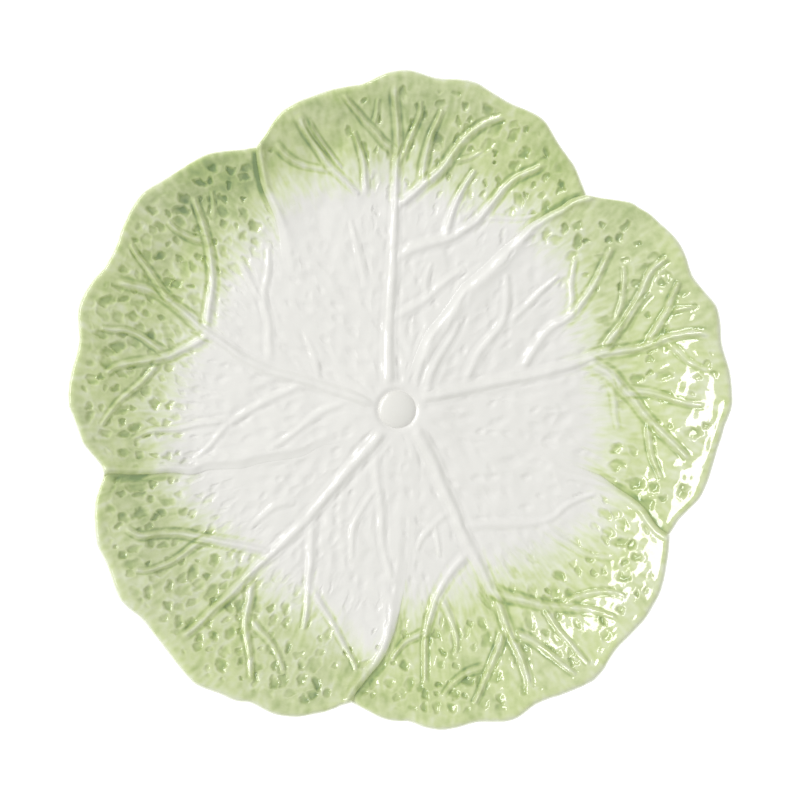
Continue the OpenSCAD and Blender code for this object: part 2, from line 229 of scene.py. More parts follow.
# %% Where the ribs run
RIBS = [leaf.split(";") for leaf in ["""
9 1.3|389,385 389,350 389,330 391,300 393,270 394,245 395,220 396,200 396,180 397,160 398,140 397,120
395,100 395,82; 6 1|393,149 384,142 375,131 365,121 358,112 350,103 343,93; 5 .7|374,124 377,112 378,98;
6 .9|366,190 365,178 364,165 361,152 357,141 353,130; 6 .5|366,282 361,262 356,240 350,218; 7 1|300,118
308,134 318,148 330,166 345,180 360,195; 5 .9|308,122 318,138 330,153 342,168; 6 .7|277,146 285,154
293,160 305,165 320,168 332,171; 6 .8|401,160 405,150 411,135 417,122 421,110 420,100; 7 1.1|423,182
424,165 427,150 431,135 437,122 443,108; 9 1.3|398,205 410,196 423,184 437,173 447,162 455,150 463,140
473,131 483,124 495,119 505,116; 5 .5|455,160 470,157 482,151; 9 1.3|398,258 410,250 430,243 450,238
465,229 478,220 488,208 497,197 505,187 515,178 525,173 537,168 545,162; 7.5 1.1|447,236 450,220 455,205
461,192 468,180 476,168; 5 .5|488,217 520,218 540,214; 8 .9|395,316 412,308 425,300 438,288 450,278
462,270; 6 .6|428,296 426,283 428,272 432,262""", """
10 1.5|420,398 450,393 480,386 510,380 540,374 570,366 592,358 605,353 620,351 640,348 655,343 668,338
685,334 700,333 713,336; 8 1.3|605,348 612,338 622,325 633,308 640,297 645,285 651,272 660,263 670,256;
6 .8|617,322 620,310 623,300 624,288 625,277 624,265; 6 .8|625,330 633,315 642,302 652,292; 7 1|648,342
655,332 662,320 668,310 672,298 677,287 680,280; 5 .7|671,311 685,308 695,307; 8 1.2|524,368 535,350
545,335 553,327 565,320 575,312 582,303 590,292 597,280 604,265 610,252 613,245; 6 .8|570,316 573,300
572,285 574,270 576,258; 8 1|467,380 472,368 480,352 490,340 500,328 505,318 507,305 508,290 507,272;
6 .8|512,320 525,308 535,298 545,288 560,275; 8 1|427,395 430,378 437,362 447,345 455,332 460,320;
9 1.3|590,362 600,368 612,375 620,384 627,392 635,400 642,410 650,420 660,430 670,440 680,450 690,460;
7 .9|628,391 645,392 660,395 675,400 690,404 705,405; 6 .8|648,425 650,440 652,455 658,470 662,480;
6 .5|605,372 612,385 615,400 616,415 619,430; 6 .7|667,342 677,350 687,360 697,366 708,371""", """
10 1.5|415,427 425,445 435,465 443,485 452,505 462,530 472,550 482,570 490,588 497,600 503,615 508,630
515,645 522,660 527,675 530,690; 7 1|468,555 460,563 450,575 442,588 436,600 431,615 427,630 425,645
425,660 425,685; 6 .8|427,632 415,638 405,643 397,652 392,660; 6 .7|440,598 447,610 453,625 457,640
456,655; 7 1|503,632 500,645 495,657 490,668 485,680 479,695 474,705; 6 .8|485,668 470,672 460,678
450,687 443,697; 6 .6|449,513 440,520 430,530 422,540 417,552; 5 .5|435,525 438,540 440,555;
8 1.1|492,590 505,597 520,600 540,605 555,607 570,608 590,610 605,614 618,619; 6 .8|565,604 578,598
590,594 605,592 620,594 626,598; 6 .8|545,608 552,620 560,632 570,643 580,655 590,665; 7 1|515,634
530,640 545,650 557,660 567,668 577,676; 7 .6|465,527 490,525 515,524 540,523 555,517 565,508 580,500
598,493; 6 .5|545,525 560,538 575,548 590,556 615,558""", """
9.5 1.4|384,430 375,442 365,453 355,464 345,475 335,487 325,498 315,510 305,522 292,535 278,548 265,560
252,572 240,585 228,597 215,608 203,620 192,630 180,638; 7 1.1|250,585 249,600 246,615 245,630 248,645
250,660 251,680; 6 .8|251,620 258,630 268,640 275,650 280,662 283,672; 7 1|312,525 311,540 311,560
309,575 308,590 307,605 305,620 303,632; 6 .8|312,590 320,605 330,620 338,635 345,648 352,660 357,672;
7 .7|376,455 376,465 377,480 380,500 382,520 382,540 386,560 392,580; 6 .6|376,490 368,500 360,513
354,525 352,540 352,560; 8 1.2|270,553 250,548 230,544 210,540 195,537 180,534 160,534 140,536 125,528;
6 .8|205,541 195,545 185,553 172,562 160,567 145,571 135,570; 6 .5|290,502 275,507 262,517 250,527""", """
10 1.5|375,404 340,392 305,381 270,371 240,356 215,338 203,330 190,318 178,308 165,298 150,290 135,286
115,281; 8 1.2|206,328 208,310 210,295 212,280 211,265 209,250 206,237 202,222 197,208 193,195;
6 .8|206,241 195,239 185,235 175,229 167,221; 5 .5|213,215 213,203 211,190; 6 .9|168,298 160,288 153,277
145,265 137,255 130,243; 7 .7|270,357 269,340 268,320 264,305 263,293 266,280 268,262 268,245;
6 .6|240,262 250,280 258,295 263,300; 8 1.2|208,334 195,343 180,350 168,356 150,360 130,363 115,367
105,374; 6 .9|163,352 150,343 138,335 125,330 112,330 100,328; 6 .8|158,362 150,372 140,383 128,393
118,402 110,412 100,427; 7 .9|300,385 285,392 268,400 250,410 237,418 228,425; 6 .7|228,423 218,435
208,447 195,458; 6 .7|225,421 200,424 180,429 165,430 150,431 130,440; 7 .8|345,402 325,410 310,420
295,432 285,440 270,447; 6 .4|308,332 315,360 319,385"""]]
# A rib is followed in steps of this length, and its end is this share as thick as its root.
RIB_STEP = 1.5
RIB_END_SHARE = 0.45


def rib(text):
    """One rib as (half width, height, path), in millimetres."""
    sizes, points = text.split("|")
    width, height = [float(c) for c in sizes.split()]
    path = curve(place(points))
    count = max(int(run_of(path)[-1] / RIB_STEP), 2)
    return width / 2 * MM_PER_PX, height, along(path, np.linspace(0, 1, count + 1))


ribs = [[rib(text) for text in leaf] for leaf in RIBS]
print("ribs on each leaf:", [len(leaf) for leaf in ribs])

# %% [markdown]
# ## Chance that repeats
#
# Hollows and ripples are placed by chance, but by the same chance on every run: each looks its numbers up in
# a table drawn from a fixed seed, at the cell of a square lattice that a point falls in.

# %% Ripples and hollows
TABLE = 61
# Brings the noise to about -1 to 1
RIPPLE_SPAN = 1.7
# Hollows are drawn out in full at the first of these distances from the stalk, and not at the second.
DRAWN_OUT = (66.0, 92.0)
# By how much such a hollow turns less, is narrower and is longer
DRAWN_TURN, DRAWN_NARROW, DRAWN_LONG = 0.7, 0.3, 1.3
# Its outline wobbles by layers of noise: height and pitch in mm, and a step of the seed.
WOBBLE = [(0.8, 2.6, 0), (0.3, 1.3, 4)]
# How far its middle strays, as a share of its cell
SCATTER = 0.66
# Half widths and depths run from the first of these shares to the sum of both.
HALF_RANGE = (0.62, 0.8)
DEPTH_RANGE = (0.4, 0.6)
# So many half widths away, a hollow or a rib leaves no trace.
FAR = 9.0


def ripple(p, pitch, seed):
    """Smooth noise, mostly between -1 and 1: each corner of a square lattice gets a slope in a random
    direction, and the four planes around a point are blended with S-shaped weights. Every lattice is turned
    by its own angle, so that no two line up."""
    slope = np.random.default_rng(seed).uniform(0, 2 * np.pi, (TABLE, TABLE))
    c, s = np.cos(seed), np.sin(seed)
    q = p @ np.array([[c, s], [-s, c]]) / pitch
    cell = np.floor(q).astype(int)
    f = q - cell
    w = f * f * (3 - 2 * f)
    total = np.zeros(len(p))
    for i in (0, 1):
        for j in (0, 1):
            a = slope[(cell[:, 0] + i) % TABLE, (cell[:, 1] + j) % TABLE]
            share = np.abs(1 - i - w[:, 0]) * np.abs(1 - j - w[:, 1])
            total += share * (np.cos(a) * (f[:, 0] - i) + np.sin(a) * (f[:, 1] - j))
    return RIPPLE_SPAN * total


def layered(p, layers, seed=0):
    """The sum of some ripples, each given as its height, its pitch and its seed, counted on from seed."""
    return sum(height * ripple(p, pitch, seed + step) for height, pitch, step in layers)


def hollows(p, seed, amount, pitch, half, stretch, spread, draw, rough):
    """The nearest hollow to each point. Every cell of a square lattice holds one oval hollow, shifted, turned
    and sized at random, and long in the direction away from the stalk, the more so the nearer it lies.
    Where amount is low, fewer cells keep theirs. Returns q, the distance to the hollow's middle over its half
    width, how much nearer it is than the next one, and its depth, from 0 to 1."""
    table = np.random.default_rng(seed).random((TABLE, TABLE, 6))
    p = p + rough * np.column_stack([layered(p, WOBBLE, seed + k) for k in (1, 2)])
    cell = np.floor(p / pitch).astype(int)
    best = np.full(len(p), FAR)
    second = np.full(len(p), FAR)
    depth = np.zeros(len(p))
    for dx in (-1, 0, 1):
        for dy in (-1, 0, 1):
            c = cell + (dx, dy)
            r = table[c[:, 0] % TABLE, c[:, 1] % TABLE]
            centre = (c + 0.5 + SCATTER * (r[:, :2] - 0.5)) * pitch
            turn, out = polar(centre)
            drawn = draw * (1 - smooth_step(out, *DRAWN_OUT))
            turn += spread * (1 - DRAWN_TURN * drawn) * (r[:, 2] - 0.5)
            off = p - centre
            wide = half * (HALF_RANGE[0] + HALF_RANGE[1] * r[:, 3]) * (1 - DRAWN_NARROW * drawn)
            long = wide * (1 + (stretch - 1) * 2 * r[:, 5]) * (1 + DRAWN_LONG * drawn)
            away = (off[:, 0] * np.cos(turn) + off[:, 1] * np.sin(turn)) / long
            across = (off[:, 1] * np.cos(turn) - off[:, 0] * np.sin(turn)) / wide
            q = np.hypot(away, across) + FAR * (r[:, 4] > amount(centre))
            closer = q < best
            second = np.where(closer, best, np.minimum(second, q))
            best = np.where(closer, q, best)
            depth = np.where(closer, DEPTH_RANGE[0] + DEPTH_RANGE[1] * r[:, 2], depth)
    return best, second - best, depth


# %% [markdown]
# ## The grid of a leaf
#
# Seen from above, a leaf is bounded by two seams that leave the stalk and by a rim between their notches. A
# Coons patch fills such an outline: u runs from one seam to the other and v from the stalk to the rim. Both
# leaves at a seam take the same v values, so their points meet there exactly and no slit opens.
#
# The last rows before v = 1 lie closer together and round off the lip's nose, above and below. The underside
# is plain, so it takes only every tenth row.

# %% Rows and columns
COLUMNS = 384
MAIN_ROWS = 220
# How much closer the rows lie near the rim than in an even spread
ROW_GATHER = 0.42
UNDER_EVERY = 10
NOSE_ROWS = 8
NOSE_DEPTH = 2.7
# The nose rolls down by the first of these above, and up by the second below
NOSE_FALL = (3.1, 1.3)

row_step = np.linspace(0, 1, MAIN_ROWS + 1)
nose_share = NOSE_DEPTH / PLATE_R
main_v = (1 - nose_share) * ((1 + ROW_GATHER) * row_step - ROW_GATHER * row_step**2)
nose_turn = np.linspace(0, np.pi / 2, NOSE_ROWS + 1)[1:]
nose_v = 1 - nose_share * (1 - np.sin(nose_turn))
nose_drop, nose_rise = [fall * (1 - np.cos(nose_turn)) for fall in NOSE_FALL]
top_v = np.concatenate([main_v[1:], nose_v])
top_drop = np.concatenate([np.zeros(MAIN_ROWS), nose_drop])
under_v = np.concatenate([nose_v[-2::-1], main_v[-1:], main_v[-1 - UNDER_EVERY:0:-UNDER_EVERY]])
under_rise = np.concatenate([nose_rise[-2::-1], np.zeros(len(under_v) - NOSE_ROWS + 1)])
print(len(top_v), "rows above and", len(under_v), "below, of", COLUMNS + 1, "points")


def leaf_plan(k, v):
    """Where the points of leaf k lie seen from above: (1 - u) times a point of one seam, plus u times a
    point of the other, plus v times how far the rim stands out from the chord between the notches."""
    u = np.linspace(0, 1, COLUMNS + 1)
    first, second = along(seam_paths[k], v), along(seam_paths[(k + 1) % COUNT], v)
    rim = along(rim_paths[k], u)
    bulge = rim - (1 - u)[:, None] * rim[0] - u[:, None] * rim[-1]
    across, out = u[None, :, None], v[:, None, None]
    return ((1 - across) * first[:, None] + across * second[:, None] + out * bulge[None]).reshape(-1, 2)


# %% [markdown]
# ## Relief
#
# The relief is the sum of what a modeller would add or scrape away, one tool after another: the free edge
# that stands up and rolls over the next leaf, the slightly uneven ribs with a scraped line beside each, the
# hollows between them, and slow ripples that make the glaze glint unevenly. The hollows stop short of the
# smooth lip and of the ribs. All of it is softer in the well, though some free edges stay crisp there. It
# fades out below the stalk button, which stands in a low collar. Glaze pools in every hollow and line. A band
# along the foot of each free edge is painted shade, drawn as thicker green glaze.

# %% Tools of the edges
# How high a free edge stands above the leaf that it covers, and how far in its rise begins
OVERLAP = 1.5
OVERLAP_REACH = 26.0
# The bead along it: height, and half width and distance from the edge, on the slope and in the well
BEAD = 0.9
BEAD_HALF = (1.2, 2.8)
BEAD_IN = (2.0, 5.0)
# From which share of each seam outwards the covering edge stands free, and where it does so fully
FREE_FROM = [(0.5, 0.85), (0.08, 0.2), (0.35, 0.6), (0.2, 0.8), (0.1, 0.4)]
# How high it stands there, as a share of the overlap and the bead
EDGE_SHARE = [0.9, 0.95, 0.8, 0.75, 0.7]
# How crisp each stays in the well, and a soft one's share of the height
EDGE_CRISP = [0.0, 0.3, 0.0, 0.25, 0.4]
SOFT_EDGE = 0.62
# How far the covered leaf is pressed down, and how far from the edge
TUCK = 0.3
TUCK_REACH = 2.2
# How wide a band of painted shade, drawn as thicker green, lies at the foot of each covering edge,
# and over what it fades
SEAM_SHADE = [1.0, 0.8, 1.1, 1.8, 2.2]
SEAM_SHADE_FADE = 1.3
# The painted shade starts this far in from the rim, in mm, and is whole at the lip's width.
SEAM_SHADE_FROM = 0.5
# The lip. Its crest's middle and half width, and where the hollows begin, are shares of its width.
LIP_WIDTH = 4.2
LIP_RISE = 0.08
LIP_CREST = (0.55, 0.45)
LIP_ENDS = (0.9, 1.5)
# The collar's height, where it rises, from and to a distance from the stalk, and where it sinks back
COLLAR_RISE = 1.02
COLLAR_AT = (6.6, 9.0)
COLLAR_FADES = (11.0, 34.0)
# All other relief starts at the first of these distances, and is whole at the second.
SHOWN_FROM = (7.8, 12.5)

# %% Tools of the ribs
# The ribs, the beads and the hollows are low and soft in the well and at full height out on the slope.
SOFT_R = 60.0
CRISP_R = 90.0
SOFT_SHARE = 0.6
# A rib's foot lies this many half widths from its middle, narrows with the rib and is wider in the well.
RIB_FOOT = 1.15
RIB_NARROWS = 0.65
RIB_WIDENS = 0.25
# It rises over these mm at its root, and dies away from this share of its length on.
RIB_ROOT = (-1.5, 2.5)
RIB_DIES = 0.96
# How unevenly its height is modelled, and over what length
UNEVEN = 0.2
UNEVEN_PITCH = 4.5
# The scraped line's place and half width, over the foot's distance, its depth and how full of glaze it is
LINE_AT = 1.5
LINE_HALF = 0.42
LINE_DEPTH = 0.3
LINE_POOL = 1.35
# How much of a rib the lip swallows
LIP_SWALLOWS = 0.75


def rib_relief(p, leaf, crisp):
    """Height of the ribs, and depth of the line scraped along each. q is the distance to a rib's middle over
    that of its foot: the rib is a hump (1 - q^2)^2 and the line a narrow bell outside it. Ribs that meet are
    blended by the fourth root of the sum of fourth powers."""
    humps = np.zeros(len(p))
    lines = np.zeros(len(p))
    clear = np.full(len(p), FAR)
    for half, height, path in leaf:
        reach = 5 * half
        low, high = path.min(0) - reach, path.max(0) + reach
        near = np.flatnonzero(((p > low) & (p < high)).all(1))
        away, share = nearest(p[near], path)
        length = run_of(path)[-1]
        thin = 1 - (1 - RIB_END_SHARE) * share
        foot = RIB_FOOT * half * (1 - RIB_NARROWS + RIB_NARROWS * thin)
        q = away / (foot * (1 + RIB_WIDENS - RIB_WIDENS * crisp[near]))
        fade = np.sqrt(thin) * (1 - smooth_step(share, RIB_DIES, 1.0))
        fade *= smooth_step(share * length, *RIB_ROOT) * (SOFT_SHARE + (1 - SOFT_SHARE) * crisp[near])
        fade *= 1 + UNEVEN * ripple(p[near], UNEVEN_PITCH, 61)
        humps[near] += (height * fade * np.clip(1 - q * q, 0, 1) ** 2) ** 4
        lines[near] = np.maximum(lines[near], fade * min(height, 1) * bell((q - LINE_AT) / LINE_HALF))
        clear[near] = np.minimum(clear[near], q)
    return humps**0.25, lines, clear


# %% Tools of the hollows and the ripples
# Hollows out on the slope, and shallow dents in the well. Lengths are in mm and turns in radians.
HOLLOW = {"pitch": 5.7, "half": 1.66, "stretch": 1.45, "spread": 1.6, "draw": 1.0, "rough": 1.0}
DENT = {"pitch": 5.4, "half": 2.2, "stretch": 1.4, "spread": 1.8, "draw": 0.2, "rough": 0.45}
HOLLOW_SEED = 11
DENT_SEED = 31
# Their depths, and between which shares of the half width their sides rise
HOLLOW_DEPTH = 0.85
DENT_DEPTH = 0.62
HOLLOW_SIDE = (0.4, 1.08)
DENT_SIDE = (0.0, 1.25)
# A wall is left between hollows that nearly touch, and a low ridge runs round each.
WALL_BETWEEN = 0.35
RIDGE = 0.13
RIDGE_AT = 1.15
RIDGE_HALF = 0.2
# The share of cells with a hollow on each leaf, and where it differs
HOLLOWS_ON = [0.5, 0.4, 0.5, 1.0, 1.0]
HOLLOWS_AT = [
    ("305,115", 20, -0.5), ("310,208", 20, -0.8), ("352,625", 14, -0.9), ("520,150", 26, 0.4),
    ("430,690", 26, 0.5), ("610,235", 15, 0.3), ("600,560", 18, 0.1), ("340,690", 14, -0.2),
    ("250,190", 14, -0.2)]
# The share of cells with a dent
DENTS_ON = 0.75
# Both keep clear of free edges and seams, in mm, and of ribs, over the foot's distance.
CLEAR_OF_EDGE = (2.6, 4.4)
CLEAR_OF_SEAM = (0.2, 2.2)
CLEAR_OF_RIB = (0.8, 1.5)
# Ripples: pitch in mm, seed, height everywhere, more out on the slope, and how much the lip is spared
RIPPLES = [(15.0, 51, 0.3, 0.3, 0), (6.0, 53, 0.12, 0, 1), (7.5, 63, 0, 0.26, 1),
           (3.8, 55, 0, 0.12, 1), (4.2, 59, 0.11, 0, 1)]


def relief(k, p):
    """Height that the tools add at the points of leaf k, and what the glaze needs to know about each: how
    deep it lies in a hollow or a scraped line, with painted shade added in a band beside a seam, and crest,
    how high on a rib, a bead or a hollow's rim."""
    after = (k + 1) % COUNT
    rim_away, _ = nearest(p, rim_paths[k])
    over_away, over_share = nearest(p, seam_paths[k])
    under_away, under_share = nearest(p, seam_paths[after])
    over_free = smooth_step(over_share, *FREE_FROM[k])
    under_free = smooth_step(under_share, *FREE_FROM[after])
    _, out = polar(p)
    crisp = smooth_step(out, SOFT_R, CRISP_R)

    lift = OVERLAP * np.clip(1 - over_away / OVERLAP_REACH, 0, 1) ** 2
    firm = np.maximum(crisp, EDGE_CRISP[k])
    bead_half, bead_in = [well + (slope - well) * firm for slope, well in (BEAD_HALF, BEAD_IN)]
    on_bead = bell((over_away - bead_in) / bead_half)
    edge = np.clip(over_away / bead_in, 0, 1)
    roll = firm * np.sqrt(1 - (1 - edge) ** 2) + (1 - firm) * smooth_step(edge)
    free_edge = EDGE_SHARE[k] * over_free * (lift + BEAD * on_bead) * roll
    free_edge *= SOFT_EDGE + (1 - SOFT_EDGE) * firm
    tucked = under_free * bell(under_away / TUCK_REACH)

    humps, lines, rib_clear = rib_relief(p, ribs[k], crisp)
    lip = bell((rim_away / LIP_WIDTH - LIP_CREST[0]) / LIP_CREST[1])
    inside_lip = smooth_step(rim_away / LIP_WIDTH, *LIP_ENDS)
    beside_bead = smooth_step(over_away, *CLEAR_OF_EDGE) * over_free + (1 - over_free)
    beside_rib = smooth_step(rib_clear, *CLEAR_OF_RIB)
    # Ribs, lines and hollows stop short of the seams, because the next leaf has others there.
    inside = smooth_step(np.minimum(over_away, under_away), *CLEAR_OF_SEAM)
    humps, lines = humps * inside, lines * inside
    room = beside_bead * beside_rib * inside

    q, apart, deep = hollows(p, HOLLOW_SEED + k, lambda c: HOLLOWS_ON[k] + spots(c, HOLLOWS_AT), **HOLLOW)
    pits = deep * (1 - smooth_step(q, *HOLLOW_SIDE)) * smooth_step(apart, 0.0, WALL_BETWEEN)
    pits *= room * inside_lip * crisp
    ridge = bell((q - RIDGE_AT) / RIDGE_HALF) * room * inside_lip * crisp
    q, _, deep = hollows(p, DENT_SEED + k, lambda c: DENTS_ON, **DENT)
    dents = deep * (1 - smooth_step(q, *DENT_SIDE)) * room * (1 - crisp)
    waves = sum((all_over + slope * crisp) * (1 - spared * lip) * ripple(p, pitch, seed)
                for pitch, seed, all_over, slope, spared in RIPPLES)
    collar = COLLAR_RISE * smooth_step(out, *COLLAR_AT) * (1 - smooth_step(out, *COLLAR_FADES))
    height = free_edge - TUCK * crisp * tucked + humps * (1 - LIP_SWALLOWS * lip)
    height += LIP_RISE * lip - LINE_DEPTH * lines
    height += RIDGE * ridge - HOLLOW_DEPTH * pits - DENT_DEPTH * dents + waves
    height = height * smooth_step(out, *SHOWN_FROM) + collar

    # Painted shade: a band of thicker green at the foot of the next leaf's covering edge.
    band = SEAM_SHADE[after]
    seam_shade = under_free * (1 - smooth_step(under_away, band, band + SEAM_SHADE_FADE))
    seam_shade *= smooth_step(rim_away, SEAM_SHADE_FROM, LIP_WIDTH)
    pool = np.maximum(np.maximum(pits, LINE_POOL * lines * inside_lip), seam_shade)
    crest = humps + 0.5 * ridge + EDGE_SHARE[k] * over_free * on_bead
    return height, pool, np.clip(crest, 0, 1)


# %% [markdown]
# ## Where the green glaze lies
#
# The brush goes round the outer half of the leaves and stops in a ragged line. Its strokes run outwards, so
# the noise that makes the line ragged is drawn out along them. The hollows keep some colour further in than
# the ridges do, and the melting glaze runs off the rim's nose and leaves it pale.

# %% How much green each point carries
BRUSH_EDGE = """
602,409 600,380 585,340 575,300 570,265 545,240 530,215 500,203 470,195 430,182 385,173 340,180
300,189 272,203 262,232 225,270 205,310 185,350 170,400 165,440 165,475 190,505 220,535 250,570
278,592 305,604 328,621 350,639 367,658 386,652 402,612 440,600 480,580 520,560 560,545 600,522
612,498 600,470 604,440"""
# The brush's line fades over this width, from the first to the second of these shares of it.
BRUSH_FADE = 15.0
FADE_SPAN = (-0.75, 0.85)
# The noise runs round the plate at this radius, is drawn out this much, and sways by one ripple.
STROKE_R = 80.0
STROKE_LONG = 3.5
STROKE_SWAY = (0.9, 11.0, 75)
# Its layers, as height, pitch and seed: what makes the line ragged, and how strokes differ
RAGGED = [(0.6, 1.9, 71), (0.4, 0.9, 73)]
RAGGED_SHARE = 0.4
STROKES = [(0.6, 1.3, 77), (0.4, 2.4, 79)]
STROKES_SHARE = 0.45
# A pool deeper than usual keeps more green, up to a full one, and a crest sheds some.
POOL_KEEPS = 0.35
POOL_USUAL = 0.4
POOL_FULL = 0.6
CREST_SHEDS = 0.15
# How much less stays on the edge of the nose, and how far in that reaches
EDGE_BARE = 0.65
BARE_REACH = 1.1
# The green also goes a little way round under the rim, between these radii.
UNDER_GREEN = 0.7
UNDER_GREEN_AT = (106.0, 124.0)
# Where the brush left more or less
BRUSH_LOADS = [
    ("240,175", 16, 0.35), ("545,150", 18, 0.32), ("340,95", 16, 0.3), ("430,95", 18, 0.25),
    ("135,476", 9, 0.3), ("195,172", 20, 0.4), ("625,215", 16, 0.25), ("700,290", 14, 0.15),
    ("160,515", 12, 0.25), ("300,700", 15, 0.15), ("380,680", 14, 0.2), ("470,680", 14, 0.2),
    ("180,330", 12, 0.15), ("605,600", 30, -0.15), ("230,640", 20, -0.12), ("670,410", 32, -0.15),
    ("640,480", 12, 0.2)]
edge_angle, edge_reach = polar(place(BRUSH_EDGE))
print("the brush stops this many mm from the stalk:", edge_reach.astype(int))


def green_glaze(p, pool, crest):
    """Share of green at each point: how far it lies outside the brush's line, over the width of the fade,
    with streaks from noise that is long outwards and narrow around the plate."""
    angle, out = polar(p)
    limit = np.interp(angle, edge_angle, edge_reach, period=2 * np.pi)
    around = np.column_stack([angle * STROKE_R + layered(p, [STROKE_SWAY]), out / STROKE_LONG])
    reach = (out - limit) / BRUSH_FADE + RAGGED_SHARE * layered(around, RAGGED)
    reach += POOL_KEEPS * (np.minimum(pool, POOL_FULL) - POOL_USUAL) - CREST_SHEDS * crest
    load = STROKES_SHARE * layered(around, STROKES)
    load += spots(p, BRUSH_LOADS)
    return smooth_step(reach, *FADE_SPAN) * (1 + load)


# %% [markdown]
# ## From points to a closed mesh
#
# The rows of one leaf run over the top, round the nose and back along the underside, and end in a point below
# the stalk. That leaves two upright walls open, at the seams. On them the many rows of the top meet the few
# of the underside, so each wall is filled like a zip: every short edge gets a triangle to the nearest long
# edge's end, and every long edge one to the middle of its short ones.

# %% Faces
# Edges that turn by more than this many degrees are shaded as sharp.
SHARP = 50


def put(name, data):
    """An object in the scene that holds the data."""
    made = bpy.data.objects.new(name, data)
    bpy.context.scene.collection.objects.link(made)
    return made


def make_piece(name, points, quads, triangles, attributes):
    """A mesh object from points in millimetres, its faces and its values per point."""
    mesh = bpy.data.meshes.new(name)
    corners = np.concatenate([quads.ravel(), triangles.ravel()])
    starts = np.concatenate([np.arange(len(quads)) * 4, 4 * len(quads) + np.arange(len(triangles)) * 3])
    mesh.vertices.add(len(points))
    mesh.vertices.foreach_set("co", (points * MM).astype(np.float32).ravel())
    mesh.loops.add(len(corners))
    mesh.loops.foreach_set("vertex_index", corners.astype(np.int32))
    mesh.polygons.add(len(starts))
    mesh.polygons.foreach_set("loop_start", starts.astype(np.int32))
    mesh.update(calc_edges=True)
    mesh.validate()
    for label, values in attributes.items():
        layer = mesh.attributes.new(label, "FLOAT", "POINT")
        layer.data.foreach_set("value", values.astype(np.float32))
    mesh.shade_smooth()
    mesh.set_sharp_from_angle(angle=np.radians(SHARP))
    print(name, len(points), "points,", 2 * len(quads) + len(triangles), "triangles")
    return put(name, mesh)


def zip_wall(column):
    """Triangles of the upright wall below one edge of a leaf. column lists the edge's points from the stalk
    over the top, round the nose and back."""
    top = column[:MAIN_ROWS + 1]
    low = column[MAIN_ROWS + 2 * NOSE_ROWS:][::-1]
    i = np.arange(MAIN_ROWS)
    group = i // UNDER_EVERY
    half = UNDER_EVERY // 2
    nearest_low = low[group + (i % UNDER_EVERY >= half)]
    g = np.arange(len(low) - 1)
    n = np.arange(NOSE_ROWS)
    rise, back = column[MAIN_ROWS:], column[MAIN_ROWS + 2 * NOSE_ROWS::-1]
    return np.vstack([
        np.column_stack([top[i], top[i + 1], nearest_low]),
        np.column_stack([low[g + 1], low[g], top[g * UNDER_EVERY + half]]),
        np.column_stack([rise[n], rise[n + 1], back[n]]),
        np.column_stack([rise[n[:-1] + 1], back[n[:-1] + 1], back[n[:-1]]]),
    ])


def leaf_faces():
    """Faces of any leaf: quads between its rows, a fan at each end and a wall at each seam. Point 0 is the
    top of the stalk line and the last point its foot."""
    rows, width = len(top_v) + len(under_v), COLUMNS + 1
    grid = 1 + np.arange(rows * width).reshape(rows, width)
    quads = np.stack([grid[:-1, :-1], grid[:-1, 1:], grid[1:, 1:], grid[1:, :-1]], -1).reshape(-1, 4)
    foot = rows * width + 1
    first, last = grid[0], grid[-1]
    fans = [np.column_stack([np.zeros(COLUMNS, int), first[1:], first[:-1]]),
            np.column_stack([last[:-1], last[1:], np.full(COLUMNS, foot)])]
    walls = [zip_wall(np.concatenate([[0], grid[:, 0], [foot]])),
             zip_wall(np.concatenate([[0], grid[:, -1], [foot]]))[:, ::-1]]
    return quads, np.vstack(fans + walls)


def make_leaf(k, faces):
    """Leaf k: the relief on the top rows, the plain blade one wall lower on the others, a rolled nose."""
    upper, lower = leaf_plan(k, top_v), leaf_plan(k, under_v)
    height, pool, crest = relief(k, upper)
    bare = 1 - EDGE_BARE * bell((1 - top_v) * PLATE_R / BARE_REACH)
    green = green_glaze(upper, pool, crest) * np.repeat(bare, COLUMNS + 1)
    z = blade_height(upper) + height - np.repeat(top_drop, COLUMNS + 1)
    low_z = blade_height(lower) - WALL + np.repeat(under_rise, COLUMNS + 1)
    low_green = UNDER_GREEN * smooth_step(np.hypot(*lower.T), *UNDER_GREEN_AT)
    none = np.zeros(len(lower))
    points = np.vstack([
        np.append(STALK, FLOOR_Z), np.column_stack([upper, z]), np.column_stack([lower, low_z]),
        np.append(STALK, FOOT_HEIGHT)])
    values = {"green": np.concatenate([[0], green, low_green, [0]]),
              "pool": np.concatenate([[0], pool, none, [0]]),
              "crest": np.concatenate([[0], crest, none, [0]])}
    return make_piece(LEAVES[k], points, *faces, values)


faces = leaf_faces()
leaves = [make_leaf(k, faces) for k in range(COUNT)]

# %% [markdown]
# ## The stalk button and the foot ring
#
# Both are turned shapes, so each is a profile carried round a circle. The button is a shallow dome that
# stands in a groove, because the leaves rise a little round it. The face that the plate stands on is wiped
# to bare clay before firing, because glaze would stick to the kiln shelf.

